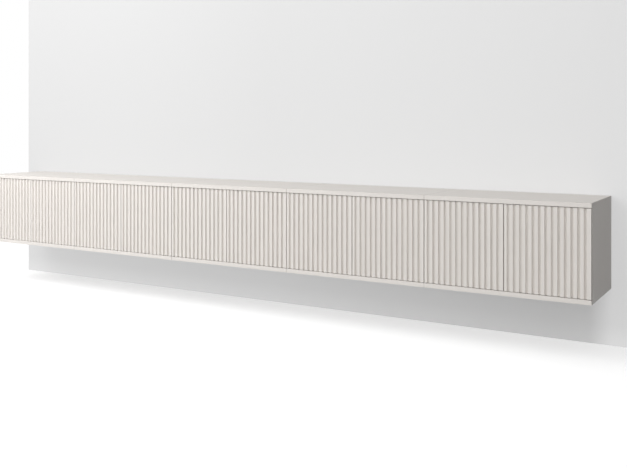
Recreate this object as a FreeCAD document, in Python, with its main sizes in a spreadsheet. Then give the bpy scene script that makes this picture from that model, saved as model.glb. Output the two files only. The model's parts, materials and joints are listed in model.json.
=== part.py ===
import FreeCAD, Part
import os
import Sketcher

Vector = FreeCAD.Vector

document = FreeCAD.newDocument("media_console")
sheet = document.addObject("Spreadsheet::Sheet", "Sizes")

# Every size of the console in millimetres, each written once
sizes = {
    # Five cabinets hang side by side with a hairline seam between them
    "cabinet_width": 600,
    "cabinet_seam": 0.5,
    "console_height": 340,
    "console_depth": 330,
    "board_thickness": 16,
    # The thin back panel sits in grooves, ahead of the wall rail
    "back_thickness": 3,
    "back_inset": 20,
    "back_groove_depth": 8,
    "back_play": 0.3,
    "cable_cut_width": 100,
    "cable_cut_height": 50,
    "cable_cut_rise": 25,
    # Ribbed doors between the top and bottom boards, in front of the side boards
    "door_thickness": 19,
    "door_seat_gap": 2,
    "door_gap": 3,
    "door_gap_top": 2,
    "door_gap_bottom": 2,
    "door_edge_ease": 1,
    "rib_count": 14,
    "edge_rib_left": 9.75,
    "edge_rib_right": 13.75,
    "groove_mouth": 10.5,
    "groove_depth": 6,
    "groove_slope": 2,
    # Knife hinges: one leaf in the board, one leaf with a pin in the door edge
    "pivot_edge": 5.5,
    "pivot_depth": 5,
    "pin_diameter": 5,
    "pin_clearance": 0.05,
    "pin_end_play": 0.2,
    "leaf_thickness": 2.5,
    "leaf_length": 45,
    "leaf_width": 8.5,
    "leaf_nose": 3,
    "leaf_setback": 8.5,
    "leaf_play": 0.2,
    "board_leaf_width": 8,
    # Push latches under the top board, near the free edge of each door
    "latch_offset": 32,
    "latch_width": 16,
    "latch_height": 24,
    "latch_length": 76,
    "latch_setback": 3,
    "latch_drop": 15,
    "push_pin_width": 8,
    "push_pin_length": 50,
    "push_pin_play": 0.3,
    "push_pin_over_travel": 5,
    "push_head_width": 12,
    "push_head_thickness": 4,
    "strike_gap": 0.3,
    "strike_length": 24,
    "strike_width": 14,
    "strike_thickness": 1.5,
    # Wall rails and the brackets that hook over them
    "rail_height": 274,
    "rail_end_gap": 3,
    "rail_metal": 2,
    "rail_base_height": 22,
    "rail_lip_height": 16,
    "rail_stand_off": 8,
    "rail_hole_rise": 10,
    "rail_hole_diameter": 6,
    "rail_hole_spacing": 448,
    "bracket_width": 30,
    "bracket_metal": 4,
    "bracket_drop": 70,
    "bracket_stand_off": 18,
    "hook_metal": 2.5,
    "hook_wall_gap": 2.5,
    "hook_reach": 10,
}
for row, (alias, value) in enumerate(sizes.items(), start=1):
    sheet.set(f"A{row}", alias)
    sheet.set(f"B{row}", str(value))
    sheet.setAlias(f"B{row}", alias)
document.recompute()

CABINETS = range(1, 6)
DOORS = range(1, 11)
MIDDLE_CABINET = 3

WIDTH = "(Sizes.cabinet_width - Sizes.cabinet_seam)"
BOARD = "Sizes.board_thickness"
INNER_WIDTH = f"({WIDTH} - 2 * {BOARD})"
INNER_HEIGHT = f"(Sizes.console_height - 2 * {BOARD})"
FRONT = "(-Sizes.console_depth)"
FLOOR = "(-Sizes.rail_height)"
CEILING = f"({FLOOR} + Sizes.console_height - {BOARD})"
SIDE_FRONT = "(Sizes.door_thickness + Sizes.door_seat_gap)"
SIDE_DEPTH = f"(Sizes.console_depth - {SIDE_FRONT})"
DOOR_PITCH = "(Sizes.cabinet_width / 2)"
DOOR_WIDTH = f"({DOOR_PITCH} - Sizes.door_gap)"
DOOR_HEIGHT = f"({INNER_HEIGHT} - Sizes.door_gap_top - Sizes.door_gap_bottom)"
EDGE_RIBS = "(Sizes.edge_rib_left + Sizes.edge_rib_right)"
RIB_PITCH = f"(({DOOR_WIDTH} - {EDGE_RIBS} - Sizes.groove_mouth) / (Sizes.rib_count - 2))"
BACK_GROOVE_WIDTH = "(Sizes.back_thickness + Sizes.back_play)"
BACK_GROOVE_FRONT = f"(Sizes.back_inset + {BACK_GROOVE_WIDTH})"
BACK_EDGE = "(Sizes.back_groove_depth - Sizes.back_play)"
LATCH_FROM_HINGE = f"({DOOR_PITCH} - Sizes.latch_offset - Sizes.door_gap / 2)"


def cabinet_left(cabinet):
    """Left face of a cabinet; the middle cabinet is centred on the origin."""
    return f"({cabinet - MIDDLE_CABINET - 0.5} * Sizes.cabinet_width + Sizes.cabinet_seam / 2)"


def door_left(door):
    """Left edge of a door."""
    return f"({door - len(DOORS) / 2 - 1} * {DOOR_PITCH} + Sizes.door_gap / 2)"


def hinged_left(door):
    """The odd doors hang on the left side board, the even doors on the right one."""
    return door % 2 == 1


def from_hinge(door, distance, size, width=DOOR_WIDTH):
    """Left edge of a feature that starts at a distance from the hinge edge."""
    if hinged_left(door):
        return f"({distance})"
    return f"({width} - ({distance}) - ({size}))"


def place(piece, right, back, up):
    """Put a piece where its three expressions say."""
    piece.setExpression("Placement.Base.x", right)
    piece.setExpression("Placement.Base.y", back)
    piece.setExpression("Placement.Base.z", up)


def new_body(name):
    """Empty body that takes the features of one piece."""
    return document.addObject("PartDesign::Body", name)


def sketch_on(body, role, offset="0"):
    """New sketch on one of the body's own origin planes, moved along its normal."""
    sketch = body.newObject("Sketcher::SketchObject", f"{body.Name}_sketch")
    plane = next(feature for feature in body.Origin.OriginFeatures if feature.Role == role)
    sketch.AttachmentSupport = (plane, [""])
    sketch.MapMode = "FlatFace"
    sketch.setExpression("AttachmentOffset.Base.z", offset)
    return sketch


def value(expression):
    """Present value of an expression of the sheet, where a sketch starts from."""
    return float(sheet.evalExpression(expression))


def dimension(sketch, expression, kind, *references):
    """Add a driving dimension bound to an expression of the sheet."""
    index = sketch.addConstraint(Sketcher.Constraint(kind, *references, value(expression)))
    name = f"size_{index}"
    sketch.renameConstraint(index, name)
    sketch.setExpression(f"Constraints.{name}", expression)


def fix_point(sketch, geometry, point, right, up):
    """Hold one point of a sketch at two distances from the sketch origin."""
    for kind, axis, expression in (("DistanceX", -2, right), ("DistanceY", -1, up)):
        if expression == "0":
            sketch.addConstraint(Sketcher.Constraint("PointOnObject", geometry, point, axis))
        else:
            dimension(sketch, expression, kind, -1, 1, geometry, point)


def add_rectangle(sketch, left, bottom, width, height):
    """Closed rectangle with its corner and both lengths driven by the sheet."""
    low = Vector(value(left), value(bottom), 0)
    high = low + Vector(value(width), value(height), 0)
    corners = [low, Vector(high.x, low.y, 0), high, Vector(low.x, high.y, 0)]
    sides = [Part.LineSegment(corners[i], corners[(i + 1) % 4]) for i in range(4)]
    first = sketch.addGeometry(sides, False)[0]
    for i in range(4):
        sketch.addConstraint(Sketcher.Constraint("Coincident", first + i, 2, first + (i + 1) % 4, 1))
        sketch.addConstraint(Sketcher.Constraint(("Horizontal", "Vertical")[i % 2], first + i))
    fix_point(sketch, first, 1, left, bottom)
    dimension(sketch, width, "DistanceX", first, 1, first, 2)
    dimension(sketch, height, "DistanceY", first + 1, 1, first + 1, 2)


def add_circle(sketch, right, up, diameter):
    """Circle with its centre and diameter driven by the sheet."""
    centre = Vector(value(right), value(up), 0)
    circle = sketch.addGeometry(Part.Circle(centre, Vector(0, 0, 1), value(diameter) / 2), False)
    fix_point(sketch, circle, 3, right, up)
    dimension(sketch, diameter, "Diameter", circle)


def add_door_section(sketch):
    """Cross-section of a door's board: its front lies on the sketch's own axis, with both edges eased."""
    ease = value("Sizes.door_edge_ease")
    width = value(DOOR_WIDTH)
    thickness = value("Sizes.door_thickness")
    corners = [
        Vector(0, thickness, 0),
        Vector(0, ease, 0),
        Vector(ease, 0, 0),
        Vector(width - ease, 0, 0),
        Vector(width, ease, 0),
        Vector(width, thickness, 0),
    ]
    sketch.addGeometry([Part.LineSegment(corners[i], corners[(i + 1) % 6]) for i in range(6)], False)
    for i in range(6):
        sketch.addConstraint(Sketcher.Constraint("Coincident", i, 2, (i + 1) % 6, 1))
    for edge in (0, 4):
        sketch.addConstraint(Sketcher.Constraint("Vertical", edge))
    for face in (2, 5):
        sketch.addConstraint(Sketcher.Constraint("Horizontal", face))
    sketch.addConstraint(Sketcher.Constraint("PointOnObject", 2, 1, -1))
    fix_point(sketch, 0, 1, "0", "Sizes.door_thickness")
    dimension(sketch, DOOR_WIDTH, "DistanceX", 5, 2, 5, 1)
    for eased in (1, 3):
        dimension(sketch, "Sizes.door_edge_ease", "DistanceX", eased, 1, eased, 2)
    dimension(sketch, "Sizes.door_edge_ease", "DistanceY", 1, 2, 1, 1)
    dimension(sketch, "Sizes.door_edge_ease", "DistanceY", 3, 1, 3, 2)


def add_groove(sketch, left):
    """Cross-section of one groove: open at the front face, with flanks that slope in to its floor."""
    start = value(left)
    end = start + value("Sizes.groove_mouth")
    slope = value("Sizes.groove_slope")
    depth = value("Sizes.groove_depth")
    corners = [
        Vector(start, 0, 0),
        Vector(end, 0, 0),
        Vector(end - slope, depth, 0),
        Vector(start + slope, depth, 0),
    ]
    sketch.addGeometry([Part.LineSegment(corners[i], corners[(i + 1) % 4]) for i in range(4)], False)
    for i in range(4):
        sketch.addConstraint(Sketcher.Constraint("Coincident", i, 2, (i + 1) % 4, 1))
    for level in (0, 2):
        sketch.addConstraint(Sketcher.Constraint("Horizontal", level))
    fix_point(sketch, 0, 1, left, "0")
    dimension(sketch, "Sizes.groove_mouth", "DistanceX", 0, 1, 0, 2)
    dimension(sketch, "Sizes.groove_slope", "DistanceX", 0, 1, 3, 1)
    dimension(sketch, "Sizes.groove_slope", "DistanceX", 2, 1, 0, 2)
    dimension(sketch, "Sizes.groove_depth", "DistanceY", 0, 1, 3, 1)


def pad(body, sketch, length, backwards=False):
    """Raise a sketch into solid material."""
    feature = body.newObject("PartDesign::Pad", f"{body.Name}_pad")
    feature.Profile = sketch
    feature.Reversed = backwards
    feature.setExpression("Length", length)
    return feature


def pocket(body, sketch, depth=None, backwards=False):
    """Cut a sketch into the body, right through when no depth is given."""
    feature = body.newObject("PartDesign::Pocket", f"{body.Name}_pocket")
    feature.Profile = sketch
    feature.Reversed = backwards
    if depth is None:
        feature.Type = "ThroughAll"
    else:
        feature.setExpression("Length", depth)
    return feature


def block(name, width, depth, height):
    """Rectangular body with its lower left front corner at its own origin."""
    body = new_body(name)
    outline = sketch_on(body, "XY_Plane")
    add_rectangle(outline, "0", "0", width, depth)
    pad(body, outline, height)
    return body


def group(name, pieces):
    """Gather separate solids that share one node."""
    compound = document.addObject("Part::Compound", name)
    compound.Links = pieces
    return compound


def board_leaf_left(door):
    """Left edge of a hinge leaf, measured from the left end of its board."""
    pivot = "(Sizes.door_gap / 2 + Sizes.pivot_edge - Sizes.cabinet_seam / 2)"
    return from_hinge(door, f"{pivot} - Sizes.board_leaf_width / 2", "Sizes.board_leaf_width", WIDTH)


BOARD_LEAF_FRONT = "(Sizes.pivot_depth - Sizes.leaf_nose)"


def cut_board(body, face, backwards):
    """Cut the hinge mortises and the back panel groove into the inner face of a board."""
    mortises = sketch_on(body, "XY_Plane", face)
    for door in (1, 2):
        add_rectangle(
            mortises,
            f"({board_leaf_left(door)} - Sizes.leaf_play)",
            f"({BOARD_LEAF_FRONT} - Sizes.leaf_play)",
            "(Sizes.board_leaf_width + 2 * Sizes.leaf_play)",
            "(Sizes.leaf_length + 2 * Sizes.leaf_play)",
        )
    pocket(body, mortises, "Sizes.leaf_thickness", backwards)
    groove = sketch_on(body, "XY_Plane", face)
    add_rectangle(
        groove,
        f"({BOARD} - Sizes.back_groove_depth)",
        f"(Sizes.console_depth - {BACK_GROOVE_FRONT})",
        f"({INNER_WIDTH} + 2 * Sizes.back_groove_depth)",
        BACK_GROOVE_WIDTH,
    )
    pocket(body, groove, "Sizes.back_groove_depth", backwards)


def make_top_panel(cabinet):
    """Laminated top board, flush with the door fronts."""
    body = block(f"cabinet_{cabinet}_top_panel", WIDTH, "Sizes.console_depth", BOARD)
    cut_board(body, "0", True)
    place(body, cabinet_left(cabinet), FRONT, CEILING)
    return body


def make_bottom_panel(cabinet):
    """Laminated bottom board, the twin of the top board."""
    body = block(f"cabinet_{cabinet}_bottom_panel", WIDTH, "Sizes.console_depth", BOARD)
    cut_board(body, BOARD, False)
    place(body, cabinet_left(cabinet), FRONT, FLOOR)
    return body


def make_side_panel(cabinet, side):
    """Side board behind the doors, between the top and bottom boards, grooved for the back panel."""
    body = block(f"cabinet_{cabinet}_{side}_side", BOARD, SIDE_DEPTH, INNER_HEIGHT)
    inner_face = BOARD if side == "left" else "0"
    groove = sketch_on(body, "YZ_Plane", inner_face)
    add_rectangle(groove, f"({SIDE_DEPTH} - {BACK_GROOVE_FRONT})", "0", BACK_GROOVE_WIDTH, INNER_HEIGHT)
    pocket(body, groove, "Sizes.back_groove_depth", side == "right")
    left = cabinet_left(cabinet)
    if side == "right":
        left = f"({left} + {WIDTH} - {BOARD})"
    place(body, left, f"({FRONT} + {SIDE_FRONT})", f"({FLOOR} + {BOARD})")
    return body


def make_back_panel(cabinet):
    """Thin back panel held in the grooves, with a cut-out for plugs and cables."""
    width = f"({INNER_WIDTH} + 2 * {BACK_EDGE})"
    height = f"({INNER_HEIGHT} + 2 * {BACK_EDGE})"
    body = block(f"cabinet_{cabinet}_back_panel", width, "Sizes.back_thickness", height)
    cut_out = sketch_on(body, "XZ_Plane")
    add_rectangle(
        cut_out,
        f"({width} / 2 - Sizes.cable_cut_width / 2)",
        f"({BACK_EDGE} + Sizes.cable_cut_rise)",
        "Sizes.cable_cut_width",
        "Sizes.cable_cut_height",
    )
    pocket(body, cut_out)
    place(
        body,
        f"({cabinet_left(cabinet)} + {BOARD} - {BACK_EDGE})",
        f"(-{BACK_GROOVE_FRONT} + Sizes.back_play / 2)",
        f"({FLOOR} + {BOARD} - {BACK_EDGE})",
    )
    return body


def make_board_leaf(door, face):
    """Flat hinge leaf let into a board, with the hole that the door's pin turns in."""
    body = block("board_leaf", "Sizes.board_leaf_width", "Sizes.leaf_length", "Sizes.leaf_thickness")
    hole = sketch_on(body, "XY_Plane")
    add_circle(
        hole,
        "(Sizes.board_leaf_width / 2)",
        "Sizes.leaf_nose",
        "(Sizes.pin_diameter + 2 * Sizes.pin_clearance)",
    )
    pocket(body, hole, None, True)
    left = f"({cabinet_left((door + 1) // 2)} + {board_leaf_left(door)})"
    up = CEILING if face == "top" else f"({FLOOR} + {BOARD} - Sizes.leaf_thickness)"
    place(body, left, f"({FRONT} + {BOARD_LEAF_FRONT})", up)
    return body


def leaf_outline(door, play):
    """The two rectangles of a door leaf: a strip behind the grooves and a nose around the pin."""
    hinge_end = f"Sizes.pivot_edge - Sizes.leaf_nose - {play}"
    strip_length = f"(Sizes.leaf_length + 2 * {play})"
    strip_front = f"(Sizes.leaf_setback - {play})"
    strip_width = f"(Sizes.leaf_width + 2 * {play})"
    nose_length = f"(2 * Sizes.leaf_nose + 2 * {play})"
    nose_front = f"(Sizes.pivot_depth - Sizes.leaf_nose - {play})"
    nose_width = f"(Sizes.leaf_setback - {nose_front})"
    return [
        (from_hinge(door, hinge_end, strip_length), strip_front, strip_length, strip_width),
        (from_hinge(door, hinge_end, nose_length), nose_front, nose_length, nose_width),
    ]


STRIKE_BOTTOM = f"({DOOR_HEIGHT} + Sizes.door_gap_top - Sizes.latch_drop - Sizes.strike_width / 2)"


def strike_left(door):
    """Left edge of the strike plate, measured from the left edge of its door."""
    return from_hinge(door, f"{LATCH_FROM_HINGE} - Sizes.strike_length / 2", "Sizes.strike_length")


def place_on_door(body, door):
    """Put a body that is drawn in a door's own frame where the door is."""
    place(body, door_left(door), FRONT, f"({FLOOR} + {BOARD} + Sizes.door_gap_bottom)")


def make_door(door):
    """Ribbed door front: a board let in for its fittings, then milled with upright grooves."""
    body = new_body(f"door_{door}")
    section = sketch_on(body, "XY_Plane")
    add_door_section(section)
    pad(body, section, DOOR_HEIGHT)
    for face, backwards in (("0", True), (DOOR_HEIGHT, False)):
        for outline in leaf_outline(door, "Sizes.leaf_play"):
            mortise = sketch_on(body, "XY_Plane", face)
            add_rectangle(mortise, *outline)
            pocket(body, mortise, "Sizes.leaf_thickness", backwards)
    recess = sketch_on(body, "XZ_Plane", "-Sizes.door_thickness")
    add_rectangle(
        recess,
        f"({strike_left(door)} - Sizes.leaf_play)",
        f"({STRIKE_BOTTOM} - Sizes.leaf_play)",
        "(Sizes.strike_length + 2 * Sizes.leaf_play)",
        "(Sizes.strike_width + 2 * Sizes.leaf_play)",
    )
    pocket(body, recess, "Sizes.strike_thickness", True)
    groove = sketch_on(body, "XY_Plane")
    add_groove(groove, "Sizes.edge_rib_left")
    first_groove = pocket(body, groove, None, True)
    grooves = body.newObject("PartDesign::LinearPattern", f"{body.Name}_grooves")
    grooves.Originals = [first_groove]
    grooves.Direction = (groove, ["H_Axis"])
    grooves.setExpression("Length", f"{RIB_PITCH} * (Sizes.rib_count - 2)")
    grooves.setExpression("Occurrences", "Sizes.rib_count - 1")
    body.Tip = grooves
    place_on_door(body, door)
    return body


def make_door_leaf(door, end):
    """Hinge leaf in one end of a door, with the pin that turns in the board's leaf."""
    body = new_body(f"door_{door}_{end}_leaf")
    upper = end == "upper"
    base = f"({DOOR_HEIGHT} - Sizes.leaf_thickness)" if upper else "0"
    face = DOOR_HEIGHT if upper else "0"
    gap = "Sizes.door_gap_top" if upper else "Sizes.door_gap_bottom"
    for outline in leaf_outline(door, "0"):
        plate = sketch_on(body, "XY_Plane", base)
        add_rectangle(plate, *outline)
        pad(body, plate, "Sizes.leaf_thickness")
    pin = sketch_on(body, "XY_Plane", face)
    add_circle(pin, from_hinge(door, "Sizes.pivot_edge", "0"), "Sizes.pivot_depth", "Sizes.pin_diameter")
    pad(body, pin, f"({gap} + Sizes.leaf_thickness - Sizes.pin_end_play)", not upper)
    place_on_door(body, door)
    return body


def make_strike(door):
    """Steel strike plate flush in the back of a door, where the latch magnet holds it."""
    body = block(f"door_{door}_strike", "Sizes.strike_length", "Sizes.strike_thickness", "Sizes.strike_width")
    place(
        body,
        f"({door_left(door)} + {strike_left(door)})",
        f"({FRONT} + Sizes.door_thickness - Sizes.strike_thickness)",
        f"({FLOOR} + {BOARD} + Sizes.door_gap_bottom + {STRIKE_BOTTOM})",
    )
    return body


def latch_axis(door):
    """Middle of a door's push latch along the console."""
    return f"({door_left(door)} + {from_hinge(door, LATCH_FROM_HINGE, '0')})"


def make_latch(door):
    """Push latch body under the top board, with the square guide of its pin."""
    body = block("push_latch", "Sizes.latch_width", "Sizes.latch_length", "Sizes.latch_height")
    guide = sketch_on(body, "XZ_Plane")
    guide_width = "(Sizes.push_pin_width + 2 * Sizes.push_pin_play)"
    add_rectangle(
        guide,
        f"(Sizes.latch_width / 2 - {guide_width} / 2)",
        f"(Sizes.latch_height - Sizes.latch_drop - {guide_width} / 2)",
        guide_width,
        guide_width,
    )
    pocket(body, guide, "(Sizes.push_pin_length + Sizes.push_pin_over_travel)")
    place(
        body,
        f"({latch_axis(door)} - Sizes.latch_width / 2)",
        f"({FRONT} + {SIDE_FRONT} + Sizes.latch_setback)",
        f"({CEILING} - Sizes.latch_height)",
    )
    return body


def make_push_pin(door):
    """Sprung pin of a push latch, square so that it can't turn, with a magnet head."""
    body = block(
        f"push_pin_{door}", "Sizes.push_head_width", "Sizes.push_head_thickness", "Sizes.push_head_width"
    )
    edge = "((Sizes.push_head_width - Sizes.push_pin_width) / 2)"
    shank = sketch_on(body, "XY_Plane", edge)
    add_rectangle(shank, edge, "Sizes.push_head_thickness", "Sizes.push_pin_width", "Sizes.push_pin_length")
    pad(body, shank, "Sizes.push_pin_width")
    place(
        body,
        f"({latch_axis(door)} - Sizes.push_head_width / 2)",
        f"({FRONT} + Sizes.door_thickness + Sizes.strike_gap)",
        f"({CEILING} - Sizes.latch_drop - Sizes.push_head_width / 2)",
    )
    return body


RAIL_BOTTOM = "(-Sizes.rail_hole_rise)"
RAIL_HEIGHT = "(Sizes.rail_base_height - Sizes.rail_metal + Sizes.rail_lip_height)"


def make_rail(cabinet):
    """Folded steel rail screwed to the wall: base, shelf and a lip that stands off the wall."""
    body = new_body("wall_rail")
    length = f"({INNER_WIDTH} - 2 * Sizes.rail_end_gap)"
    fold = "(Sizes.rail_base_height - Sizes.rail_metal)"
    strips = (
        ("(Sizes.rail_stand_off - Sizes.rail_metal)", "0", "Sizes.rail_metal", "Sizes.rail_base_height"),
        ("0", fold, "Sizes.rail_stand_off", "Sizes.rail_metal"),
        ("0", fold, "Sizes.rail_metal", "Sizes.rail_lip_height"),
    )
    for strip in strips:
        profile = sketch_on(body, "YZ_Plane")
        add_rectangle(profile, *strip)
        pad(body, profile, length)
    holes = sketch_on(body, "XZ_Plane")
    for side in (-1, 1):
        add_circle(
            holes,
            f"({length} / 2 + {side} * Sizes.rail_hole_spacing / 2)",
            "Sizes.rail_hole_rise",
            "Sizes.rail_hole_diameter",
        )
    pocket(body, holes)
    left = f"({cabinet_left(cabinet)} + {BOARD} + Sizes.rail_end_gap)"
    place(body, left, "(-Sizes.rail_stand_off)", RAIL_BOTTOM)
    return body


def make_bracket(cabinet, side):
    """Steel hanger in an upper rear corner, hooked over the lip of the wall rail."""
    body = new_body("hanger_bracket")
    web = f"({RAIL_BOTTOM} + {RAIL_HEIGHT} - {CEILING} + Sizes.bracket_drop)"
    reach = "(Sizes.bracket_stand_off - Sizes.hook_wall_gap)"
    bars = (
        ("0", "0", "Sizes.bracket_metal", "Sizes.bracket_drop"),
        ("0", web, reach, "Sizes.bracket_metal"),
        (
            f"({reach} - Sizes.hook_metal)",
            f"({web} - Sizes.hook_reach)",
            "Sizes.hook_metal",
            "(Sizes.hook_reach + Sizes.bracket_metal)",
        ),
    )
    for bar in bars:
        profile = sketch_on(body, "YZ_Plane")
        add_rectangle(profile, *bar)
        pad(body, profile, "Sizes.bracket_width")
    left = f"({cabinet_left(cabinet)} + {BOARD})"
    if side == "right":
        left = f"({cabinet_left(cabinet)} + {WIDTH} - {BOARD} - Sizes.bracket_width)"
    place(body, left, "(-Sizes.bracket_stand_off)", f"({CEILING} - Sizes.bracket_drop)")
    return body


nodes = []
brackets = []
for cabinet in CABINETS:
    nodes.append(make_top_panel(cabinet))
    nodes.append(make_bottom_panel(cabinet))
    for side in ("left", "right"):
        nodes.append(make_side_panel(cabinet, side))
        brackets.append(make_bracket(cabinet, side))
    nodes.append(make_back_panel(cabinet))
nodes.append(group("hanger_brackets", brackets))
nodes.append(group("wall_rails", [make_rail(cabinet) for cabinet in CABINETS]))

for door in DOORS:
    nodes.append(make_door(door))
    fittings = [make_door_leaf(door, "upper"), make_door_leaf(door, "lower"), make_strike(door)]
    nodes.append(group(f"door_{door}_fittings", fittings))
    nodes.append(make_push_pin(door))
board_leaves = [make_board_leaf(door, face) for door in DOORS for face in ("top", "bottom")]
nodes.append(group("board_hinge_leaves", board_leaves))
nodes.append(group("push_latch_bodies", [make_latch(door) for door in DOORS]))
document.recompute()

for item in document.Objects:
    if "Invalid" in item.State or "Error" in item.State:
        raise RuntimeError(f"{item.Label} could not be made")
os.makedirs("parts", exist_ok=True)
for node in nodes:
    if node.Shape.isNull() or not node.Shape.isValid():
        raise RuntimeError(f"{node.Label} has no valid shape")
    node.Shape.exportStep(f"parts/{node.Label}.step")
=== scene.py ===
import json
import math

import bmesh
import bpy
from mathutils import Matrix, Vector


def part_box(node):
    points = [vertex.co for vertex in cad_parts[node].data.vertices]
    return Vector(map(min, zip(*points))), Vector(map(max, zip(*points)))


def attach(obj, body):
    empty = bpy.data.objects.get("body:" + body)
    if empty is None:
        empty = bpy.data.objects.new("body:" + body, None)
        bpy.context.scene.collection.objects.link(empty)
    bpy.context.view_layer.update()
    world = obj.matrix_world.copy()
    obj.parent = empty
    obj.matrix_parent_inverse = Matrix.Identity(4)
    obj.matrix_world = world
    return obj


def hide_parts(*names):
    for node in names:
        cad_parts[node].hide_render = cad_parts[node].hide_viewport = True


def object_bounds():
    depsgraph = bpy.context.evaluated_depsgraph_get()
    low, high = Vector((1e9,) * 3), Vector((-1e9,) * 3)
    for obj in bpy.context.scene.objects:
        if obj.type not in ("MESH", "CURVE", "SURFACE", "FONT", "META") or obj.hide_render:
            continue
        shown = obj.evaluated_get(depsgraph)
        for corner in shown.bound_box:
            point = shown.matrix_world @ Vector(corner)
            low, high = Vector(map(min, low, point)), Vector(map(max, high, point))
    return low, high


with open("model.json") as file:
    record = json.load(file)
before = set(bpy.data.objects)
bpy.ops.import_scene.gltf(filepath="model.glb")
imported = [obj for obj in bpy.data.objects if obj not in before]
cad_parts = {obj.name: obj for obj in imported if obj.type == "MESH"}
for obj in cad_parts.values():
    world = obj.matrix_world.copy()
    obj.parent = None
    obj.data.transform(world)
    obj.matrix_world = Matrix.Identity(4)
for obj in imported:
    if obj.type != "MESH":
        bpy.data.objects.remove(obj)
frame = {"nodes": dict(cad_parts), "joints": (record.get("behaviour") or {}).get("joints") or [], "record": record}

cad_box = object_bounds()


# Wall rails
# One length of folded steel strip behind each cabinet, zinc plated after folding and punched with two holes.
# It is screwed to the wall first; its lip stands off the wall and carries the cabinet's two hooks.

MM = 0.001
WELD = 0.001 * MM
LONG_EDGE = 100 * MM
STILL_FLAT = math.radians(1)
SHARP_EDGE = math.radians(30)
CREASE = math.radians(50)
ZINC = (0.60, 0.61, 0.62, 1.0)


def as_mesh(form, name):
    """Turn a worked form into a mesh that shades smoothly over rounded edges."""
    mesh = bpy.data.meshes.new(name)
    bmesh.ops.recalc_face_normals(form, faces=form.faces)
    form.to_mesh(mesh)
    form.free()
    mesh.polygons.foreach_set("use_smooth", [True] * len(mesh.polygons))
    mesh.set_sharp_from_angle(angle=CREASE)
    return mesh


def eased_copy(node, ease, shortest):
    """A node's shape from its lower left front corner, with all sharp edges above a length rounded off."""
    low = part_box(node)[0]
    form = bmesh.new()
    form.from_mesh(frame["nodes"][node].data)
    bmesh.ops.translate(form, verts=form.verts, vec=-low)
    bmesh.ops.remove_doubles(form, verts=form.verts, dist=WELD)
    bmesh.ops.dissolve_limit(form, angle_limit=STILL_FLAT, verts=form.verts, edges=form.edges)
    arrises = [
        edge for edge in form.edges
        if edge.is_manifold and edge.calc_length() > shortest and edge.calc_face_angle() > SHARP_EDGE
    ]
    bmesh.ops.bevel(
        form, geom=arrises, offset=ease, segments=2, profile=0.5, affect="EDGES", clamp_overlap=True
    )
    return as_mesh(form, node)


def add_piece(name, mesh, finish, body, corner=(0, 0, 0)):
    """Put a mesh in its place with its finish, riding on a body of the frame."""
    piece = bpy.data.objects.new(name, mesh)
    piece.location = corner
    bpy.context.scene.collection.objects.link(piece)
    if not mesh.materials:
        mesh.materials.append(finish)
    even = piece.modifiers.new("even_shading", "WEIGHTED_NORMAL")
    even.keep_sharp = True
    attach(piece, body)
    return piece


def add_node(tree, kind, inputs=None, **settings):
    """Add a shader node; each input is a plain value or the socket that it is linked from."""
    node = tree.nodes.new(kind)
    for setting, choice in settings.items():
        setattr(node, setting, choice)
    for socket, source in (inputs or {}).items():
        if isinstance(source, bpy.types.NodeSocket):
            tree.links.new(source, node.inputs[socket])
        else:
            node.inputs[socket].default_value = source
    return node


def reckon(tree, operation, *terms):
    """Socket with the result of one sum."""
    return add_node(tree, "ShaderNodeMath", dict(enumerate(terms)), operation=operation).outputs[0]


def place_on_piece(tree):
    """Socket with the place on the piece in metres."""
    return add_node(tree, "ShaderNodeTexCoord").outputs["Object"]


def stretched(tree, place, times):
    """Socket with a place multiplied axis by axis, which draws a pattern out along the least of them."""
    return add_node(tree, "ShaderNodeVectorMath", {0: place, 1: times}, operation="MULTIPLY").outputs[0]


def soft_noise(tree, place, scale, detail):
    """Socket with cloudy noise of a scale and a number of finer layers."""
    settings = {"Vector": place, "Scale": scale, "Detail": detail}
    return add_node(tree, "ShaderNodeTexNoise", settings).outputs["Fac"]


def toned(tree, colour, tone):
    """Socket with a colour made paler or darker by a tone."""
    return add_node(tree, "ShaderNodeVectorMath", {0: colour, "Scale": tone}, operation="SCALE").outputs[0]


def new_group(name, inputs, outputs):
    """Node group with named sockets: its tree, what it is given and where its results go."""
    tree = bpy.data.node_groups.new(name, "ShaderNodeTree")
    for side, sockets in (("INPUT", inputs), ("OUTPUT", outputs)):
        for socket, kind in sockets.items():
            tree.interface.new_socket(socket, in_out=side, socket_type=f"NodeSocket{kind}")
    return tree, tree.nodes.new("NodeGroupInput").outputs, tree.nodes.new("NodeGroupOutput").inputs


def metal_streaks():
    """Plated metal: streaks drawn out along one axis over patches of crystal, in tone and in dullness."""
    tree, given, result = new_group(
        "metal_streaks",
        {
            "Colour": "Color",
            "Streaks per metre": "Vector",
            "Crystals per metre": "Float",
            "Roughness": "Float",
        },
        {"Colour": "Color", "Roughness": "Float", "Height": "Float"},
    )
    darkest, crystal_tone, streak_tone = 0.82, 0.22, 0.16
    crystal_dullness, streak_dullness = 0.16, 0.14
    place = place_on_piece(tree)
    streak = soft_noise(tree, stretched(tree, place, given["Streaks per metre"]), scale=1.0, detail=5.0)
    crystal = add_node(
        tree, "ShaderNodeTexVoronoi", {"Vector": place, "Scale": given["Crystals per metre"]}
    ).outputs["Color"]
    patch = add_node(tree, "ShaderNodeSeparateColor", {"Color": crystal}).outputs["Red"]
    tone = reckon(tree, "MULTIPLY_ADD", patch, crystal_tone, darkest)
    tone = reckon(tree, "MULTIPLY_ADD", streak, streak_tone, tone)
    tree.links.new(toned(tree, given["Colour"], tone), result["Colour"])
    dull = reckon(tree, "MULTIPLY_ADD", patch, crystal_dullness, given["Roughness"])
    dull = reckon(tree, "MULTIPLY_ADD", streak, streak_dullness, dull)
    tree.links.new(dull, result["Roughness"])
    tree.links.new(streak, result["Height"])
    return tree


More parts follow.
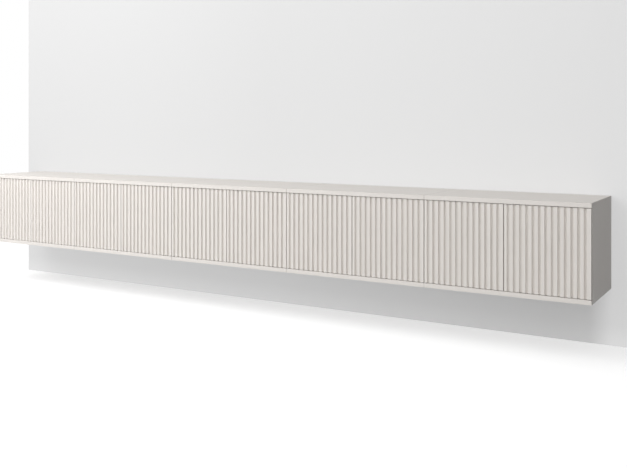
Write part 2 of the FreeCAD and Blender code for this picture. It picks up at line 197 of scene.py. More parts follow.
def new_finish(name):
    """Material with its node tree and its shader."""
    finish = bpy.data.materials.new(name)
    finish.use_nodes = True
    tree = finish.node_tree
    return finish, tree, tree.nodes["Principled BSDF"]


def placed(tree, group, values):
    """Results of a shared effect, placed in a material with its own values."""
    return add_node(tree, "ShaderNodeGroup", values, node_tree=group).outputs


def link_surface(tree, shader, colour, roughness, height, relief, strength):
    """Give a shader its colour, its roughness and a slight relief."""
    bump = add_node(tree, "ShaderNodeBump", {"Height": height, "Distance": relief, "Strength": strength})
    tree.links.new(colour, shader.inputs["Base Color"])
    tree.links.new(roughness, shader.inputs["Roughness"])
    tree.links.new(bump.outputs["Normal"], shader.inputs["Normal"])


METAL_STREAKS = metal_streaks()


def metal_finish(name, colour, streaks, crystals, roughness):
    """Plated steel with its streaks and crystals, so many to the metre."""
    finish, tree, shader = new_finish(name)
    shader.inputs["Metallic"].default_value = 1.0
    pattern = placed(
        tree,
        METAL_STREAKS,
        {
            "Colour": colour,
            "Streaks per metre": streaks,
            "Crystals per metre": crystals,
            "Roughness": roughness,
        },
    )
    link_surface(
        tree,
        shader,
        pattern["Colour"],
        pattern["Roughness"],
        pattern["Height"],
        relief=0.01 * MM,
        strength=0.5,
    )
    return finish


zinc_plate = metal_finish("zinc_plate", ZINC, streaks=(40, 900, 900), crystals=160, roughness=0.28)
rails = add_piece(
    "wall_rail_strips",
    eased_copy("wall_rails", ease=0.5 * MM, shortest=LONG_EDGE),
    zinc_plate,
    "carcass",
    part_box("wall_rails")[0],
)
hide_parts("wall_rails")


# Wall screws
# Pan-head steel screws with a cross recess, two for each rail, driven into plugs in the wall.
# Only the heads show, drawn up against the front of the rail's foot.

RAIL_METAL = 2 * MM
SCREW_STEEL = (0.66, 0.65, 0.62, 1.0)
HEAD_SIDES = 24
HEAD_DOME = ((1, 0), (1, 0.35), (0.88, 0.8), (0.7, 1))
RECESS_ARM = 0.58
RECESS_FLANK = 0.15
RECESS_TAPER = 0.7
QUARTER_TURNS = (0, 0.5 * math.pi, math.pi, 1.5 * math.pi)
TO_FRONT = Matrix.Rotation(math.radians(90), 4, "X")


def cross_head(name, radius, height, recess):
    """Screw head on its own base plane: a low dome with a tapered cross recess."""
    form = bmesh.new()
    arm, flank = RECESS_ARM * radius, RECESS_FLANK * radius
    quarter = [(arm, -flank), (arm, flank), (flank, flank)]
    cross = [
        (x * math.cos(turn) - y * math.sin(turn), x * math.sin(turn) + y * math.cos(turn))
        for turn in QUARTER_TURNS
        for x, y in quarter
    ]
    turns = [math.tau * i / HEAD_SIDES for i in range(HEAD_SIDES)]
    circle = [(radius * math.cos(turn), radius * math.sin(turn)) for turn in turns]

    def ring(points, level, scale=1):
        """Points of an outline on one level."""
        return [form.verts.new((x * scale, y * scale, level)) for x, y in points]

    def wall(lower, upper):
        """Faces between two rings."""
        for i in range(len(lower)):
            form.faces.new((lower[i - 1], lower[i], upper[i], upper[i - 1]))

    levels = [ring(circle, up * height, across) for across, up in HEAD_DOME]
    for lower, upper in zip(levels, levels[1:]):
        wall(lower, upper)
    mouth = ring(cross, height)
    floor = ring(cross, height - recess, RECESS_TAPER)
    wall(mouth, floor)
    form.faces.new(floor)
    form.faces.new(levels[0])
    rims = [
        form.edges.get((loop[i - 1], loop[i])) for loop in (levels[-1], mouth) for i in range(len(loop))
    ]
    bmesh.ops.triangle_fill(form, edges=rims, use_beauty=True)
    return as_mesh(form, name)


def gathered(pattern, places):
    """One mesh with a copy of a small piece at each place."""
    form = bmesh.new()
    for place in places:
        copy = pattern.copy()
        copy.transform(place)
        form.from_mesh(copy)
        bpy.data.meshes.remove(copy)
    return as_mesh(form, f"{pattern.name}_set")


screw_places = []
for mount in frame["record"]["mounts"]:
    if mount["kind"] == "bolt_pattern":
        half_spacing = 0.5 * mount["dims"]["spacing_x_mm"] * MM
        for across in (-half_spacing, half_spacing):
            centre = Vector(mount["pos_m"]) + Vector((across, -RAIL_METAL, 0))
            screw_places.append(Matrix.Translation(centre) @ TO_FRONT)
bright_screw = metal_finish(
    "bright_screw", SCREW_STEEL, streaks=(900, 900, 900), crystals=700, roughness=0.2
)
wall_screw = cross_head("wall_screw", radius=5.5 * MM, height=2.6 * MM, recess=1.6 * MM)
add_piece("wall_screws", gathered(wall_screw, screw_places), bright_screw, "carcass")


# Cabinet boards
# Chipboard faced with a matt warm grey laminate, cut, grooved and edged on the front with a plastic band.
# Two side boards stand between the top and bottom board of each cabinet; the rear edges stay raw.

CABINETS = range(1, 6)
GREIGE = (0.72, 0.685, 0.65, 1.0)
MATT_SHEEN = 0.35
CHIP_PALE = (0.55, 0.40, 0.25, 1.0)
CHIP_DARK = (0.24, 0.15, 0.08, 1.0)
RAW_RELIEF = 6.0
REAR_FACING = (0.7, 0.9)
EDGE_BAND = 1 * MM
JOINT_REACH = (0.12 * MM, 0.04 * MM)
JOINT_DUST = 0.35
# Painted shade where two cabinets meet: how far it reaches from a board's end, and how strong it is.
SEAM_REACH = (1.3 * MM, 0.5 * MM)
SEAM_SHADE = 0.5
END_FACING = (0.6, 0.2)
DARK_JOINT_AND_SHADE = (0.30, 0.26, 0.22, 1.0)
BOARD_EASE = 0.3 * MM
board_low, board_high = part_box("cabinet_1_top_panel")
BOARD_LENGTH = (board_high - board_low).x


def axes_of(tree, vector):
    """Sockets with the X, Y and Z of a place or a direction."""
    return add_node(tree, "ShaderNodeSeparateXYZ", {"Vector": vector}).outputs


def fade(tree, term, start, end):
    """Mask that goes smoothly from 0 at start to 1 at end."""
    limits = {"Value": term, "From Min": start, "From Max": end}
    return add_node(tree, "ShaderNodeMapRange", limits, interpolation_type="SMOOTHSTEP").outputs["Result"]


def mix_colours(tree, share, first, second):
    """Socket with a share of the second colour over the first."""
    factor, colour_a, colour_b, mixed_colour = 0, 6, 7, 2
    settings = {factor: share, colour_a: first, colour_b: second}
    return add_node(tree, "ShaderNodeMix", settings, data_type="RGBA").outputs[mixed_colour]


def matt_skin():
    """Foil, laminate, paint or moulded plastic: slow clouding of the tone over a fine pearl grain."""
    tree, given, result = new_group(
        "matt_skin",
        {"Colour": "Color", "Clouding": "Float", "Grains per metre": "Float", "Roughness": "Float"},
        {"Colour": "Color", "Roughness": "Float", "Height": "Float"},
    )
    clouds_per_metre = 9.0
    grain_tone, grain_dullness, cloud_dullness = 0.05, 0.2, 0.12
    place = place_on_piece(tree)
    grain = soft_noise(tree, place, given["Grains per metre"], detail=2.0)
    swing = reckon(tree, "SUBTRACT", soft_noise(tree, place, clouds_per_metre, detail=4.0), 0.5)
    speck = reckon(tree, "SUBTRACT", grain, 0.5)
    tone = reckon(tree, "MULTIPLY_ADD", swing, given["Clouding"], 1.0)
    tone = reckon(tree, "MULTIPLY_ADD", speck, grain_tone, tone)
    tree.links.new(toned(tree, given["Colour"], tone), result["Colour"])
    dull = reckon(tree, "MULTIPLY_ADD", speck, grain_dullness, given["Roughness"])
    dull = reckon(tree, "MULTIPLY_ADD", swing, cloud_dullness, dull)
    tree.links.new(dull, result["Roughness"])
    tree.links.new(grain, result["Height"])
    return tree


def raw_fibre():
    """Uncovered chipboard or fibreboard: pressed chips of two tones with a rough, open surface."""
    tree, given, result = new_group(
        "raw_fibre",
        {"Pale": "Color", "Dark": "Color", "Chips per metre": "Vector"},
        {"Colour": "Color", "Height": "Float"},
    )
    chip_share, fluff_share = 0.6, 0.4
    laid = stretched(tree, place_on_piece(tree), given["Chips per metre"])
    chip = add_node(tree, "ShaderNodeTexVoronoi", {"Vector": laid, "Scale": 1.0}).outputs
    tone = add_node(tree, "ShaderNodeSeparateColor", {"Color": chip["Color"]}).outputs["Green"]
    fluff = soft_noise(tree, laid, scale=3.0, detail=4.0)
    share = reckon(tree, "MULTIPLY_ADD", tone, chip_share, reckon(tree, "MULTIPLY", fluff, fluff_share))
    tree.links.new(mix_colours(tree, share, given["Pale"], given["Dark"]), result["Colour"])
    tree.links.new(reckon(tree, "ADD", chip["Distance"], fluff), result["Height"])
    return tree


MATT_SKIN = matt_skin()
RAW_FIBRE = raw_fibre()


def board_finish():
    """Laminate with a dark hairline behind the front band and painted shade at the seams between cabinets, raw
    chips on the rear edge.
    """
    finish, tree, shader = new_finish("laminated_chipboard")
    shader.inputs["Specular IOR Level"].default_value = MATT_SHEEN
    skin = placed(
        tree, MATT_SKIN, {"Colour": GREIGE, "Clouding": 0.05, "Grains per metre": 1300.0, "Roughness": 0.5}
    )
    core = placed(
        tree, RAW_FIBRE, {"Pale": CHIP_PALE, "Dark": CHIP_DARK, "Chips per metre": (180, 600, 600)}
    )
    spot = add_node(tree, "ShaderNodeTexCoord").outputs
    place = axes_of(tree, spot["Object"])
    facing = axes_of(tree, spot["Normal"])
    from_joint = reckon(tree, "ABSOLUTE", reckon(tree, "SUBTRACT", place["Y"], EDGE_BAND))
    joint = reckon(tree, "MULTIPLY", fade(tree, from_joint, *JOINT_REACH), JOINT_DUST)
    # Painted shade: each board is darkened within a little over a millimetre of both ends, except on the end
    # faces, in place of the shadow in the seam between cabinets.
    from_end = reckon(tree, "PINGPONG", place["X"], 0.5 * BOARD_LENGTH)
    off_end_face = fade(tree, reckon(tree, "ABSOLUTE", facing["X"]), *END_FACING)
    at_seam = reckon(tree, "MULTIPLY", fade(tree, from_end, *SEAM_REACH), off_end_face)
    # The darkening is the dark hairline of the joint plus the painted seam shade.
    darkening = reckon(tree, "MAXIMUM", joint, reckon(tree, "MULTIPLY", at_seam, SEAM_SHADE))
    covered = mix_colours(tree, darkening, skin["Colour"], DARK_JOINT_AND_SHADE)
    raw = fade(tree, facing["Y"], *REAR_FACING)
    open_grain = reckon(tree, "MULTIPLY", core["Height"], reckon(tree, "MULTIPLY", raw, RAW_RELIEF))
    link_surface(
        tree,
        shader,
        mix_colours(tree, raw, covered, core["Colour"]),
        reckon(tree, "MAXIMUM", skin["Roughness"], raw),
        reckon(tree, "ADD", skin["Height"], open_grain),
        relief=0.015 * MM,
        strength=0.6,
    )
    return finish


laminated_chipboard = board_finish()
for board in ("top_panel", "bottom_panel", "left_side", "right_side"):
    board_mesh = eased_copy(f"cabinet_1_{board}", BOARD_EASE, LONG_EDGE)
    for cabinet in CABINETS:
        node = f"cabinet_{cabinet}_{board}"
        piece = add_piece(
            f"{node}_board", board_mesh, laminated_chipboard, "carcass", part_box(node)[0]
        )
        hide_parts(node)


# Cam lock caps
# Moulded plastic caps near the colour of the boards, pressed over the cam locks that draw a cabinet together.
# Four sit on the inner face of each side board, near its corners.

INNER_GREIGE = (0.66, 0.62, 0.575, 1.0)
CAP_RADIUS = 8.5 * MM
CAP_HEIGHT = 1.4 * MM
CAP_DOME = ((0, 0), (1, 0), (1, 0.35), (0.94, 0.75), (0.8, 0.95), (0, 1))
CAP_FROM_EDGE = 34 * MM
CAP_FROM_FRONT = 50 * MM
CAP_FROM_REAR = 70 * MM
TURNED_SIDES = 32


def turned(name, profile):
    """Body of revolution about Z from its (radius, height) points, closed at the axis or on itself."""
    form = bmesh.new()
    points = [form.verts.new((radius, 0, height)) for radius, height in profile]
    lines = [form.edges.new(pair) for pair in zip(points, points[1:])]
    bmesh.ops.spin(
        form,
        geom=points + lines,
        axis=(0, 0, 1),
        cent=(0, 0, 0),
        angle=math.tau,
        steps=TURNED_SIDES,
        use_merge=True,
    )
    bmesh.ops.remove_doubles(form, verts=form.verts, dist=WELD)
    return as_mesh(form, name)


def moulded_finish(name, colour, clouding, grains, roughness):
    """Moulded plastic with a fine eroded grain."""
    finish, tree, shader = new_finish(name)
    pattern = placed(
        tree,
        MATT_SKIN,
        {"Colour": colour, "Clouding": clouding, "Grains per metre": grains, "Roughness": roughness},
    )
    link_surface(
        tree,
        shader,
        pattern["Colour"],
        pattern["Roughness"],
        pattern["Height"],
        relief=0.02 * MM,
        strength=0.5,
    )
    return finish


cam_cap = turned("cam_cap", [(across * CAP_RADIUS, up * CAP_HEIGHT) for across, up in CAP_DOME])
cap_places = []
for cabinet in CABINETS:
    for side, direction in (("left", 1), ("right", -1)):
        low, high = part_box(f"cabinet_{cabinet}_{side}_side")
        inner_face = high.x if side == "left" else low.x
        to_inside = Matrix.Rotation(math.radians(90 * direction), 4, "Y")
        for back in (low.y + CAP_FROM_FRONT, high.y - CAP_FROM_REAR):
            for up in (low.z + CAP_FROM_EDGE, high.z - CAP_FROM_EDGE):
                cap_places.append(Matrix.Translation((inner_face, back, up)) @ to_inside)
cap_plastic = moulded_finish("cap_plastic", INNER_GREIGE, clouding=0.04, grains=2200.0, roughness=0.42)
add_piece("cam_lock_caps", gathered(cam_cap, cap_places), cap_plastic, "carcass")


# Back panels
# Thin hard fibreboard, painted on the side that faces the room and raw brown on the side to the wall.
# Each slides into the grooves of its four boards and has one sawn cut-out for plugs and cables.

FIBRE_PALE = (0.34, 0.21, 0.12, 1.0)
FIBRE_DARK = (0.17, 0.10, 0.055, 1.0)
FRONT_FACING = (-0.6, -0.8)
BARE_ROUGHNESS = 0.85


def back_finish():
    """Paint on the front, pressed fibres on the back and on the sawn edges."""
    finish, tree, shader = new_finish("painted_fibreboard")
    paint = placed(
        tree,
        MATT_SKIN,
        {"Colour": INNER_GREIGE, "Clouding": 0.06, "Grains per metre": 900.0, "Roughness": 0.48},
    )
    core = placed(
        tree, RAW_FIBRE, {"Pale": FIBRE_PALE, "Dark": FIBRE_DARK, "Chips per metre": (420, 900, 900)}
    )
    facing = axes_of(tree, add_node(tree, "ShaderNodeTexCoord").outputs["Normal"])
    painted = fade(tree, facing["Y"], *FRONT_FACING)
    bare = reckon(tree, "MULTIPLY", reckon(tree, "SUBTRACT", 1.0, painted), BARE_ROUGHNESS)
    link_surface(
        tree,
        shader,
        mix_colours(tree, painted, core["Colour"], paint["Colour"]),
        reckon(tree, "MAXIMUM", paint["Roughness"], bare),
        reckon(tree, "MULTIPLY_ADD", core["Height"], bare, paint["Height"]),
        relief=0.04 * MM,
        strength=0.6,
    )
    return finish


painted_fibreboard = back_finish()
back_mesh = eased_copy("cabinet_1_back_panel", ease=0.25 * MM, shortest=40 * MM)
for cabinet in CABINETS:
    node = f"cabinet_{cabinet}_back_panel"
    piece = add_piece(
        f"{node}_sheet", back_mesh, painted_fibreboard, "carcass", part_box(node)[0]
    )
    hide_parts(node)


# Hanger brackets
# Bent steel hooks in the two upper rear corners of each cabinet, zinc plated like the rails.
# They are fixed to the side boards and drop over the rail's lip when the cabinet is hung.

brackets = add_piece(
    "hanger_hooks",
    eased_copy("hanger_brackets", ease=0.5 * MM, shortest=5 * MM),
    zinc_plate,
    "carcass",
    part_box("hanger_brackets")[0],
)
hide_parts("hanger_brackets")


# Hinge leaves in the boards
# Flat nickel-plated steel leaves, let in flush over and under every door, with the hole that a pin turns in.
# Each is held by two raised countersunk screws.

DOORS = range(1, 11)
NICKEL = (0.63, 0.61, 0.57, 1.0)
LEAF_EASE = 0.2 * MM
LEAF_EDGE = 5 * MM
LEAF_SCREWS_BACK = (13 * MM, 33 * MM)
UPSIDE_DOWN = Matrix.Rotation(math.pi, 4, "X")

brushed_nickel = metal_finish(
    "brushed_nickel", NICKEL, streaks=(1500, 90, 1500), crystals=500, roughness=0.16
)
board_leaves = add_piece(
    "board_leaves",
    eased_copy("board_hinge_leaves", LEAF_EASE, LEAF_EDGE),
    brushed_nickel,
    "carcass",
    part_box("board_hinge_leaves")[0],
)
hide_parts("board_hinge_leaves")

leaf_screw = cross_head("leaf_screw", radius=2.6 * MM, height=0.6 * MM, recess=0.5 * MM)
pivots = {joint["child"]: Vector(joint["pos_m"]) for joint in frame["joints"] if joint["type"] == "hinge"}
over_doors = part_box("cabinet_1_top_panel")[0].z
under_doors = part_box("cabinet_1_bottom_panel")[1].z
screw_places = []
for door in DOORS:
    pivot = pivots[f"door_{door}"]
    for back in LEAF_SCREWS_BACK:
        screw_places.append(Matrix.Translation((pivot.x, pivot.y + back, over_doors)) @ UPSIDE_DOWN)
        screw_places.append(Matrix.Translation((pivot.x, pivot.y + back, under_doors)))
add_piece("board_leaf_screws", gathered(leaf_screw, screw_places), bright_screw, "carcass")


# Push latches
# Grey moulded housings screwed up under the top boards, each with a sprung square pin of white plastic.
# The pin ends in a small magnet that holds the door, and pushes it open when the door is pressed.

LATCH_GREY = (0.36, 0.36, 0.35, 1.0)
PIN_WHITE = (0.80, 0.79, 0.76, 1.0)
MAGNET_GREY = (0.42, 0.42, 0.43, 1.0)
SCREWS_ALONG_LATCH = (0.2, 0.8)
MAGNET_RADIUS = 4.2 * MM
MAGNET_PROUD = 0.1 * MM

latch_grey = moulded_finish("latch_grey", LATCH_GREY, clouding=0.06, grains=2600.0, roughness=0.46)
pin_white = moulded_finish("pin_white", PIN_WHITE, clouding=0.03, grains=3000.0, roughness=0.36)
magnet_steel = metal_finish(
    "magnet_steel", MAGNET_GREY, streaks=(2500, 2500, 2500), crystals=900, roughness=0.22
)
latches = add_piece(
    "latch_housings",
    eased_copy("push_latch_bodies", ease=0.6 * MM, shortest=10 * MM),
    latch_grey,
    "carcass",
    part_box("push_latch_bodies")[0],
)
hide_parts("push_latch_bodies")

latch_low, latch_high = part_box("push_latch_bodies")
latch_screw = cross_head("latch_screw", radius=3 * MM, height=0.9 * MM, recess=0.7 * MM)
screw_places = []
for door in DOORS:
    pin_low, pin_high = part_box(f"push_pin_{door}")
    for share in SCREWS_ALONG_LATCH:
        back = latch_low.y + share * (latch_high.y - latch_low.y)
        place = ((pin_low.x + pin_high.x) / 2, back, latch_low.z)
        screw_places.append(Matrix.Translation(place) @ UPSIDE_DOWN)
add_piece("latch_screws", gathered(latch_screw, screw_places), bright_screw, "carcass")

pin_mesh = eased_copy("push_pin_1", ease=0.5 * MM, shortest=3 * MM)
magnet_mesh = turned(
    "pin_magnet",
    [
        (0, -MAGNET_PROUD),
        (MAGNET_RADIUS, -MAGNET_PROUD),
        (MAGNET_RADIUS, 0.5 * MAGNET_PROUD),
        (MAGNET_RADIUS - MAGNET_PROUD, MAGNET_PROUD),
        (0, MAGNET_PROUD),
    ],
)
magnet_mesh.transform(TO_FRONT)
for door in DOORS:
    node = f"push_pin_{door}"
    low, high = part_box(node)
    piece = add_piece(f"{node}_plunger", pin_mesh, pin_white, node, low)
    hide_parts(node)
    middle = (low + high) / 2
    add_piece(f"{node}_magnet", magnet_mesh, magnet_steel, node, (middle.x, low.y, middle.z))


# Doors
# Fibreboard fronts, milled with upright grooves with sloping flanks that leave fourteen flat ribs.
# Matt foil in the boards' warm grey is drawn over ribs and grooves; a press on the free edge opens a door.

RIB_COUNT = 14
EDGE_RIB_LEFT = 9.75 * MM
EDGE_RIB_RIGHT = 13.75 * MM
GROOVE_MOUTH = 10.5 * MM
GROOVE_DEPTH = 6 * MM
DOOR_EASE = 0.35 * MM
door_low, door_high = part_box("door_1")
DOOR_WIDTH = (door_high - door_low).x
RIB_PITCH = (DOOR_WIDTH - EDGE_RIB_LEFT - EDGE_RIB_RIGHT - GROOVE_MOUTH) / (RIB_COUNT - 2)
FIRST_GROOVE = EDGE_RIB_LEFT + 0.5 * GROOVE_MOUTH
IN_MOUTH = (0.53 * GROOVE_MOUTH, 0.5 * GROOVE_MOUTH)
ABOVE_FLOOR = (1.15 * GROOVE_DEPTH, 1.05 * GROOVE_DEPTH)
AT_FLOOR = (0.8 * GROOVE_DEPTH, 0.95 * GROOVE_DEPTH)
RUB_REACH = (1.6 * MM, 0.4 * MM)
RUB_DEPTH = (1.4 * MM, 0.6 * MM)
RUBBED_FOIL = (0.76, 0.72, 0.67, 1.0)
RUBBED_SHARE = 0.25
RUBBED_POLISH = -0.3
# Painted light: a paler tone on the groove flanks, which lie in shade.
PAINTED_FLANK_LIGHT = (0.80, 0.765, 0.73, 1.0)
FLANK_LIGHT_SHARE = 0.7
# Painted shade: a darker tone on the groove floors, deep in the grooves.
GROOVE_FLOOR_SHADE = (0.40, 0.36, 0.31, 1.0)
FLOOR_SHADE_SHARE = 0.17


def front_finish():
    """Matt foil, rubbed along the rib edges; painted light makes the groove flanks paler, painted shade darkens
    the groove floors.
    """
    finish, tree, shader = new_finish("ribbed_foil")
    shader.inputs["Specular IOR Level"].default_value = MATT_SHEEN
    foil = placed(
        tree, MATT_SKIN, {"Colour": GREIGE, "Clouding": 0.05, "Grains per metre": 1000.0, "Roughness": 0.52}
    )
    place = axes_of(tree, place_on_piece(tree))
    along = reckon(tree, "SUBTRACT", place["X"], FIRST_GROOVE)
    from_middle = reckon(tree, "PINGPONG", along, 0.5 * RIB_PITCH)
    from_edge = reckon(tree, "ABSOLUTE", reckon(tree, "SUBTRACT", from_middle, 0.5 * GROOVE_MOUTH))
    near_edge = fade(tree, from_edge, *RUB_REACH)
    on_rib = fade(tree, place["Y"], *RUB_DEPTH)
    milled = fade(tree, place["Y"], *ABOVE_FLOOR)
    in_groove = reckon(tree, "MULTIPLY", milled, fade(tree, from_middle, *IN_MOUTH))
    on_floor = reckon(tree, "MULTIPLY", in_groove, fade(tree, place["Y"], *AT_FLOOR))
    on_flank = reckon(tree, "SUBTRACT", in_groove, on_floor)
    rubbed = reckon(tree, "MULTIPLY", reckon(tree, "MULTIPLY", near_edge, on_rib), RUBBED_SHARE)
    # Painted light: the groove flanks are made paler.
    flank_light = reckon(tree, "MULTIPLY", on_flank, FLANK_LIGHT_SHARE)
    # Painted shade: the groove floors are darkened.
    darkening = reckon(tree, "MULTIPLY", on_floor, FLOOR_SHADE_SHARE)
    colour = mix_colours(tree, rubbed, foil["Colour"], RUBBED_FOIL)
    colour = mix_colours(tree, flank_light, colour, PAINTED_FLANK_LIGHT)
    colour = mix_colours(tree, darkening, colour, GROOVE_FLOOR_SHADE)
    link_surface(
        tree,
        shader,
        colour,
        reckon(tree, "MULTIPLY_ADD", rubbed, RUBBED_POLISH, foil["Roughness"]),
        foil["Height"],
        relief=0.012 * MM,
        strength=0.6,
    )
    return finish


ribbed_foil = front_finish()
for hand in (1, 2):
    door_mesh = eased_copy(f"door_{hand}", DOOR_EASE, LONG_EDGE)
    for door in DOORS[hand - 1::2]:
        node = f"door_{door}"
        piece = add_piece(f"{node}_front", door_mesh, ribbed_foil, node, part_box(node)[0])
        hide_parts(node)


# Door fittings
# Nickel-plated leaves with a pressed-in pin, let into both ends of each door, and a strike plate in its back.
# Raised countersunk screws hold the leaves; a dark nylon washer round the lower pin carries the door.

DARK_NYLON = (0.10, 0.10, 0.095, 1.0)
DOOR_SCREWS_ALONG = (16 * MM, 34 * MM)
LEAF_MIDDLE = 7.75 * MM
WASHER_BORE = 2.6 * MM
WASHER_RADIUS = 4 * MM
WASHER_HEIGHT = 1.9 * MM

washer = turned(
    "pivot_washer",
    [
        (WASHER_BORE, 0),
        (WASHER_RADIUS, 0),
        (WASHER_RADIUS, 0.85 * WASHER_HEIGHT),
        (0.95 * WASHER_RADIUS, WASHER_HEIGHT),
        (WASHER_BORE, WASHER_HEIGHT),
        (WASHER_BORE, 0),
    ],
)
washer_places = [
    Matrix.Translation((pivots[f"door_{door}"].x, pivots[f"door_{door}"].y, under_doors)) for door in DOORS
]
dark_nylon = moulded_finish("dark_nylon", DARK_NYLON, clouding=0.05, grains=2600.0, roughness=0.5)
add_piece("pivot_washers", gathered(washer, washer_places), dark_nylon, "carcass")

door_nickel = metal_finish("door_nickel", NICKEL, streaks=(90, 1500, 1500), crystals=500, roughness=0.16)
for hand, inward in ((1, 1), (2, -1)):
    fittings_mesh = eased_copy(f"door_{hand}_fittings", LEAF_EASE, LEAF_EDGE)
    for door in DOORS[hand - 1::2]:
        body = f"door_{door}"
        node = f"{body}_fittings"
        piece = add_piece(f"{body}_leaves", fittings_mesh, door_nickel, body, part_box(node)[0])
        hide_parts(node)
        low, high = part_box(body)
        pivot = pivots[body]
        screw_places = []
        for along in DOOR_SCREWS_ALONG:
            across, back = pivot.x + inward * along, pivot.y + LEAF_MIDDLE
            screw_places.append(Matrix.Translation((across, back, high.z)))
            screw_places.append(Matrix.Translation((across, back, low.z)) @ UPSIDE_DOWN)
        screws = gathered(leaf_screw, screw_places)
        add_piece(f"{body}_leaf_screws", screws, bright_screw, body)


# Wall and floor
# A pale wall that ends a little to the left of the console, and a white floor below it.
# The wall has painted light: shadows on it are lightened on the left and just past the console's right end,
# and a band just above the floor is paler.
# Both only show their front, so that the object can be looked at from behind and from below.

WALL_LEFT = -1.60
WALL_RIGHT = 4.0
WALL_TOP = 3.0
WALL_PLANE = cad_box[1].y + 0.5 * MM
# Painted light along the wall: its matt tone and glow change from left to right, so that shadows on it are lighter
# on the left and just past the console's right end.
WALL_MATT = [(0.15, 0.20), (0.50, 0.285), (0.855, 0.50), (0.875, 0.25)]
WALL_PAINTED_GLOW = [(0.15, 0.535), (0.50, 0.435), (0.855, 0.25), (0.875, 0.495)]
TONE_REACH = 2.0
FLOOR_LEVEL = -0.484
FLOOR_REACH = 8.0
FLOOR_MATT = [(0, 0.55)]
FLOOR_GLOW = [(0, 0.60)]
FLOOR_BOUNCE = 0.35
FLOOR_LIGHT = 0.12
FLOOR_LIGHT_REACH = 0.09


def grey(level):
    """Neutral colour of one level."""
    return (level, level, level, 1)


def tone_along(tree, across, stops):
    """Grey that passes through a level at each stop, a share of the tones' reach from left to right.

    A single stop is one level all over.
    """
    if len(stops) == 1:
        return grey(stops[0][1])
    limits = {"Value": across, "From Min": -TONE_REACH, "From Max": TONE_REACH}
    rightward = add_node(tree, "ShaderNodeMapRange", limits).outputs["Result"]
    scale = add_node(tree, "ShaderNodeValToRGB", {"Fac": rightward})
    for stop in stops[2:]:
        scale.color_ramp.elements.new(stop[0])
    for element, (share, level) in zip(scale.color_ramp.elements, stops):
        element.position = share
        element.color = grey(level)
    return scale.outputs["Color"]


def shows_background(tree):
    """Mask of the rays that show the background: straight from the camera, mirrored or through glass."""
    ray = add_node(tree, "ShaderNodeLightPath").outputs
    mirrored = reckon(tree, "MAXIMUM", ray["Is Glossy Ray"], ray["Is Transmission Ray"])
    return reckon(tree, "MAXIMUM", ray["Is Camera Ray"], mirrored)


def backdrop_finish(name, matt_stops, glow_stops, bounce=None, floor_light=None):
    """Pale matt surface that takes shadows over a level of its own, and is see-through from the back.

    It sends light on by the level of its bounce; without one it is only seen, and leaves all light as it is.
    With floor light it is paler just above the floor, a painted band of light.
    """
    finish, tree, shader = new_finish(name)
    tree.nodes.remove(shader)
    place = axes_of(tree, place_on_piece(tree))
    seen = shows_background(tree)
    colour = tone_along(tree, place["X"], matt_stops)
    glow = tone_along(tree, place["X"], glow_stops)
    strength = seen
    hidden = add_node(tree, "ShaderNodeNewGeometry").outputs["Backfacing"]
    if bounce is None:
        hidden = reckon(tree, "MAXIMUM", hidden, reckon(tree, "SUBTRACT", 1.0, seen))
    else:
        colour = mix_colours(tree, seen, grey(bounce), colour)
    if floor_light is not None:
        # Painted light: the wall glows a little more just above the floor.
        near_floor = fade(tree, place["Z"], FLOOR_LEVEL + FLOOR_LIGHT_REACH, FLOOR_LEVEL)
        lifted = reckon(tree, "MULTIPLY_ADD", near_floor, floor_light, 1.0)
        strength = reckon(tree, "MULTIPLY", lifted, seen)
    matt = add_node(tree, "ShaderNodeBsdfDiffuse", {"Color": colour}).outputs[0]
    level = add_node(tree, "ShaderNodeEmission", {"Color": glow, "Strength": strength}).outputs[0]
    front = add_node(tree, "ShaderNodeAddShader", {0: matt, 1: level}).outputs[0]
    clear = add_node(tree, "ShaderNodeBsdfTransparent").outputs[0]
    shown = add_node(tree, "ShaderNodeMixShader", {0: hidden, 1: front, 2: clear}).outputs[0]
    tree.links.new(shown, tree.nodes["Material Output"].inputs["Surface"])
    return finish


def backdrop(name, corners, finish):
    """Flat stage surface with its front on the side from which the corners run anticlockwise."""
    mesh = bpy.data.meshes.new(name)
    mesh.from_pydata(corners, [], [(0, 1, 2, 3)])
    mesh.materials.append(finish)
    surface = bpy.data.objects.new(name, mesh)
    bpy.context.scene.collection.objects.link(surface)


backdrop(
    "room_wall",
    [
        (WALL_LEFT, WALL_PLANE, FLOOR_LEVEL),
        (WALL_RIGHT, WALL_PLANE, FLOOR_LEVEL),
        (WALL_RIGHT, WALL_PLANE, WALL_TOP),
        (WALL_LEFT, WALL_PLANE, WALL_TOP),
    ],
    backdrop_finish("wall_paint", WALL_MATT, WALL_PAINTED_GLOW, floor_light=FLOOR_LIGHT),
)
backdrop(
    "room_floor",
    [
        (-FLOOR_REACH, -FLOOR_REACH, FLOOR_LEVEL),
        (FLOOR_REACH, -FLOOR_REACH, FLOOR_LEVEL),
        (FLOOR_REACH, FLOOR_REACH, FLOOR_LEVEL),
        (-FLOOR_REACH, FLOOR_REACH, FLOOR_LEVEL),
    ],
    backdrop_finish("white_floor", FLOOR_MATT, FLOOR_GLOW, bounce=FLOOR_BOUNCE),
)


# Light
# A soft studio surround, brightest in front on the left, and three large soft lamps before the left half.
# The right end stays in shade; a wide lamp that shines up from behind lights the hidden rear side only.

FRONT_LAMPS = ((-2.3, 80), (-1.4, 62), (-0.5, 42))
FRONT_LAMP_SIZE = 0.8
LAMPS_BEFORE_WALL = 1.8
LAMPS_UP = 1.6
REAR_LAMP_POWER = 3
REAR_LAMP_LENGTH = 2.9
REAR_LAMP_WIDTH = 0.16
REAR_LAMP_SPREAD = math.radians(40)
REAR_LAMP_PLACE = (0, 0.7, -0.45)
REAR_LAMP_TILT = math.radians(-117)
SKY_MEAN = 0.345
SKY_SLOPE = (-0.45, -1.06, 0.28)
SEEN_LEVEL = 1.0
WHITE = (1, 1, 1, 1)


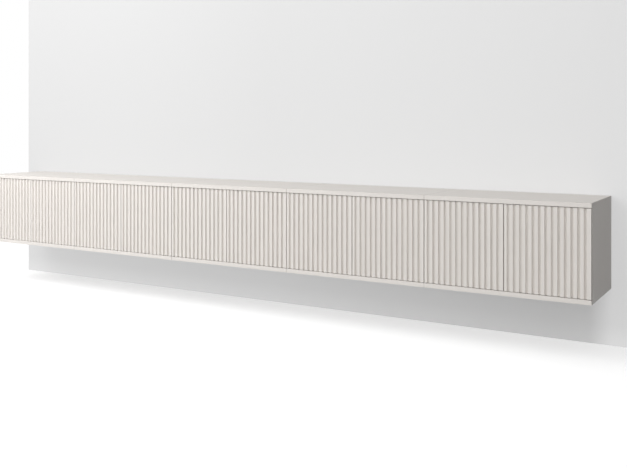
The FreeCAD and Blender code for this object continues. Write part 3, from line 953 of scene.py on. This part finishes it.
def add_lamp(name, kind, power, place, **settings):
    """Lamp of a kind and power in its place."""
    light = bpy.data.lights.new(name, kind)
    light.energy = power
    for setting, choice in settings.items():
        setattr(light, setting, choice)
    lamp = bpy.data.objects.new(name, light)
    lamp.location = place
    bpy.context.scene.collection.objects.link(lamp)
    return lamp


for across, power in FRONT_LAMPS:
    place = (across, -LAMPS_BEFORE_WALL, LAMPS_UP)
    add_lamp("front_lamp", "POINT", power, place, shadow_soft_size=FRONT_LAMP_SIZE)
rear_lamp = add_lamp(
    "rear_lamp",
    "AREA",
    REAR_LAMP_POWER,
    REAR_LAMP_PLACE,
    shape="RECTANGLE",
    size=REAR_LAMP_LENGTH,
    size_y=REAR_LAMP_WIDTH,
    spread=REAR_LAMP_SPREAD,
)
rear_lamp.rotation_euler = (REAR_LAMP_TILT, 0, 0)
rear_lamp.visible_camera = False
rear_lamp.visible_glossy = False

surround = bpy.data.worlds.new("surround")
surround.use_nodes = True
bpy.context.scene.world = surround
world_tree = surround.node_tree
towards = add_node(world_tree, "ShaderNodeTexCoord").outputs["Generated"]
slope = add_node(world_tree, "ShaderNodeVectorMath", {0: towards, 1: SKY_SLOPE}, operation="DOT_PRODUCT")
soft_sky = reckon(world_tree, "MAXIMUM", reckon(world_tree, "ADD", slope.outputs["Value"], SKY_MEAN), 0.0)
seen = shows_background(world_tree)
level = add_node(world_tree, "ShaderNodeMix", {"Factor": seen, "A": soft_sky, "B": SEEN_LEVEL}).outputs[0]
background = world_tree.nodes["Background"]
background.inputs["Color"].default_value = WHITE
world_tree.links.new(level, background.inputs["Strength"])


# Camera
# It stands level, to the right in front of the console and above its top.
# The picture is shifted down instead of the camera tilted, so that upright edges stay upright.

SENSOR_WIDTH = 36
LENS = 47.87
SHIFT_DOWN = 0.179
CAMERA_PLACE = (2.1063, -3.1880, 0.3371)
LEVEL_TILT = math.radians(90)
TURN_LEFT = math.radians(30.43)

camera_data = bpy.data.cameras.new("camera")
camera_data.sensor_width = SENSOR_WIDTH
camera_data.lens = LENS
camera_data.shift_y = -SHIFT_DOWN
camera = bpy.data.objects.new("camera", camera_data)
camera.location = CAMERA_PLACE
camera.rotation_euler = (LEVEL_TILT, 0, TURN_LEFT)
bpy.context.scene.collection.objects.link(camera)
bpy.context.scene.camera = camera
bpy.context.scene.view_settings.view_transform = "Standard"
